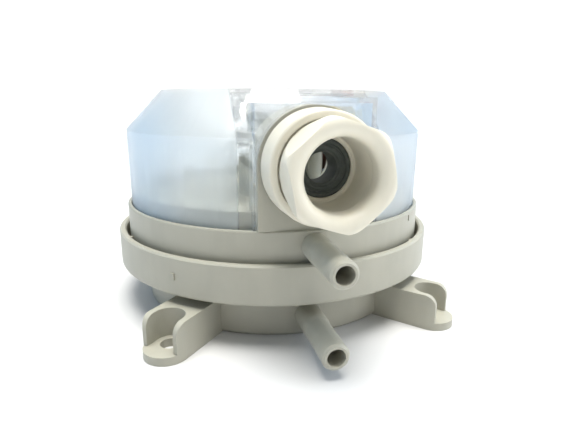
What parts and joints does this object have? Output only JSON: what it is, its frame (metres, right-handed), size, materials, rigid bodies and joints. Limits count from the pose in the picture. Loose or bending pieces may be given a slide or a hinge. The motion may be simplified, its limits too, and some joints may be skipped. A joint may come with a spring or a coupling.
{
  "type": "differential pressure switch",
  "caption": "Round differential pressure switch for air with wall feet, hose spigots, cable gland and clear cover over the setting knob.",
  "frame": {"origin": "middle of the wall side of the base, on the housing's round axis", "axes": "+Z along the housing axis from the wall side up through the clear cover, -Y towards the cable gland and both hose spigots, +X to the right seen from the gland side"},
  "size_m": [0.0904, 0.106, 0.058],
  "materials": {
    "housing": "fine moulded beige glass-filled plastic",
    "cover": "clear plastic, polished on top and on the window box, frosted round the side",
    "gland": "satin beige plastic",
    "seal": "dull black rubber",
    "silicone": "dull red-brown silicone",
    "plate": "pressed sheet, satin",
    "pusher": "natural acetal",
    "spring": "drawn spring wire",
    "knob": "fine matt",
    "scale": "printed white plate",
    "switch_case": "brown moulded phenolic",
    "button": "smooth red",
    "lever": "bright spring strip",
    "terminal": "stamped, lightly dulled",
    "screw": "zinc plated"
  },
  "bodies": {
    "housing": {"lower_housing": "housing", "upper_housing": "housing", "diaphragm": "silicone", "scale_plate": "scale", "scale_screws": "screw", "switch_body": "switch_case", "lever_pin": "lever", "switch_screws": "screw", "common_tab": "terminal", "open_tab": "terminal", "close_tab": "terminal", "cover_gasket": "seal", "gland_washer": "seal", "gland_body": "gland", "gland_seal": "seal", "gland_locknut": "gland", "range_spring": "spring"},
    "plates": {"lower_plate": "plate", "upper_plate": "pusher", "plate_rivet": "plate", "trim_screw": "screw"},
    "knob": {"setting_knob": "knob", "knob_clip": "spring"},
    "cup": {"spring_cup": "pusher"},
    "lever": {"switch_lever": "lever"},
    "button": {"switch_button": "button"},
    "lid": {"cover": "cover"},
    "nut": {"gland_nut": "gland"}
  },
  "joints": [
    {"name": "plate_stroke", "type": "slide", "parent": "housing", "child": "plates", "axis": [0, 0, 1], "range_m": [0, 0.001], "stiffness_N_per_m": 600, "deforming": ["diaphragm"]},
    {"name": "knob_turn", "type": "hinge", "parent": "housing", "child": "knob", "pos_m": [0, 0, 0.043], "axis": [0, 0, -1], "range_deg": [0, 225]},
    {"name": "cup_slide", "type": "slide", "parent": "housing", "child": "cup", "axis": [0, 0, 1], "range_m": [-0.0038, 0], "deforming": ["range_spring"]},
    {"name": "lever_turn", "type": "hinge", "parent": "housing", "child": "lever", "pos_m": [0.01875, 0.011, 0.03], "axis": [-1, 0, 0], "range_deg": [0, 3.5]},
    {"name": "button_slide", "type": "slide", "parent": "housing", "child": "button", "axis": [0, 0, 1], "range_m": [0, 0.00046]},
    {"name": "cover_lift", "type": "slide", "parent": "housing", "child": "lid", "axis": [0, 0, 1], "range_m": [0, 0.045]},
    {"name": "nut_turn", "type": "hinge", "parent": "housing", "child": "nut", "pos_m": [0, -0.054, 0.042], "axis": [0, -1, 0], "range_deg": [0, 360]}
  ],
  "couplings": [
    {"joint": "cup_slide", "follows": "knob_turn", "m_per_rad": -0.00095493},
    {"joint": "lever_turn", "follows": "plate_stroke", "rad_per_m": 58.824},
    {"joint": "button_slide", "follows": "plate_stroke", "ratio": 0.44118}
  ]
}
